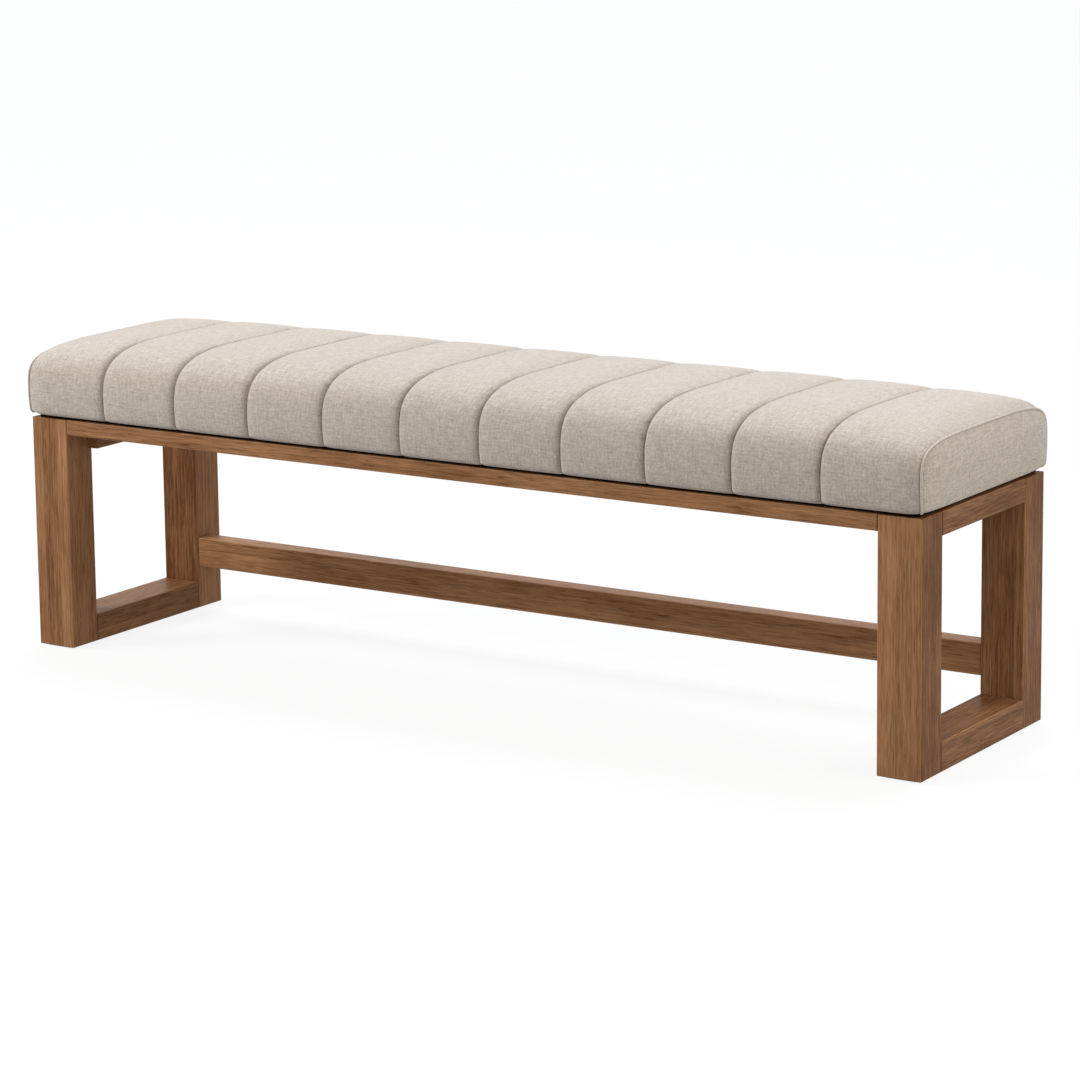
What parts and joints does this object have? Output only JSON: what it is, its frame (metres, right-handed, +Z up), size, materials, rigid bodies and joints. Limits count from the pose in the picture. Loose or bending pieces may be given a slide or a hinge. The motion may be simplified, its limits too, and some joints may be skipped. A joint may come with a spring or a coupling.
{
  "type": "upholstered bench",
  "caption": "Backless banquette bench: a channelled linen cushion over a shadow gap, on a brown wooden frame with box-shaped ends, long rails and a low rear stretcher.",
  "frame": {"origin": "on the floor, under the middle of the bench", "axes": "+X along the bench to the sitter's left, the front faces -Y, +Z up"},
  "size_m": [1.515, 0.391, 0.4717],
  "materials": {
    "wood_frame": "satin",
    "pale_wood": "matte",
    "steel": "satin",
    "felt": "matte",
    "black_strip": "matte",
    "plywood": "matte",
    "foam": "matte",
    "wadding": "matte",
    "dust_cloth": "matte",
    "linen": "matte"
  },
  "bodies": {
    "root": {"front_left_post": "wood_frame", "front_right_post": "wood_frame", "back_left_post": "wood_frame", "back_right_post": "wood_frame", "left_foot_rail": "wood_frame", "right_foot_rail": "wood_frame", "left_end_rail": "wood_frame", "right_end_rail": "wood_frame", "front_rail": "wood_frame", "back_rail": "wood_frame", "rear_stretcher": "wood_frame", "left_seat_bearer": "wood_frame", "right_seat_bearer": "wood_frame", "left_cross_rail": "wood_frame", "inner_left_cross_rail": "wood_frame", "inner_right_cross_rail": "wood_frame", "right_cross_rail": "wood_frame", "front_left_corner_block": "pale_wood", "front_right_corner_block": "pale_wood", "back_left_corner_block": "pale_wood", "back_right_corner_block": "pale_wood", "end_frame_dowels": "pale_wood", "long_rail_dowels": "pale_wood", "stretcher_dowels": "pale_wood", "cross_rail_dowels": "pale_wood", "bearer_screws": "steel", "corner_block_screws": "steel", "seat_bolts": "steel", "bolt_washers": "steel", "tee_nuts": "steel", "cover_staples": "steel", "dust_cover_staples": "steel", "front_left_floor_pad": "felt", "front_right_floor_pad": "felt", "back_left_floor_pad": "felt", "back_right_floor_pad": "felt", "front_spacer_strip": "black_strip", "back_spacer_strip": "black_strip", "left_spacer_strip": "black_strip", "right_spacer_strip": "black_strip", "bolt_spacers": "black_strip", "seat_board": "plywood", "foam_core": "foam", "wadding_wrap": "wadding", "dust_cover": "dust_cloth", "channelled_cover": "linen", "left_end_panel": "linen", "right_end_panel": "linen", "left_end_welt": "linen", "right_end_welt": "linen"}
  },
  "joints": []
}
